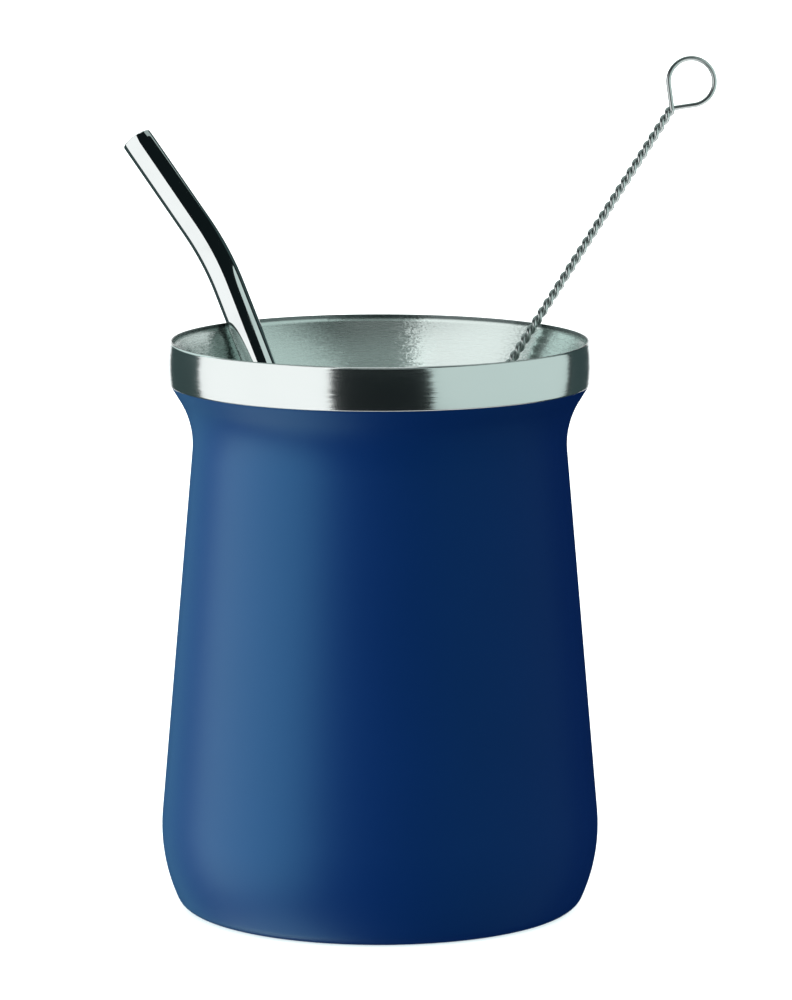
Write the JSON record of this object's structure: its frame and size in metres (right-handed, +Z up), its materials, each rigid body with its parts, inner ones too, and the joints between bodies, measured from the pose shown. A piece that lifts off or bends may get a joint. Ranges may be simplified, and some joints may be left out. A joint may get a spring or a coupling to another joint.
{
  "type": "insulated steel mate cup with straw and cleaning brush",
  "caption": "Waisted steel mate cup with a satin blue coat and a bare brushed rim band, holding a bent polished straw and a looped twisted-wire brush.",
  "frame": {"origin": "centre of the cup's flat base, on the cup's axis", "axes": "+Z up along the cup's axis; +X towards the side the brush leans to; -Y towards the front, with the straw and the brush both leaning to the back"},
  "size_m": [0.1118, 0.081, 0.1551],
  "materials": {
    "coat": "satin navy blue powder coat with a very fine texture",
    "brushed_steel": "bare stainless steel, brushed round the cup",
    "polished_steel": "mirror-polished stainless steel",
    "wire": "bright drawn steel wire",
    "bristle": "translucent white nylon filaments"
  },
  "bodies": {
    "root": {"coated_outer_shell": "coat", "steel_inner_vessel_with_rim": "brushed_steel", "bent_steel_straw": "polished_steel", "brush_wire_with_loop": "wire", "brush_bristle_head": "bristle"}
  },
  "joints": []
}
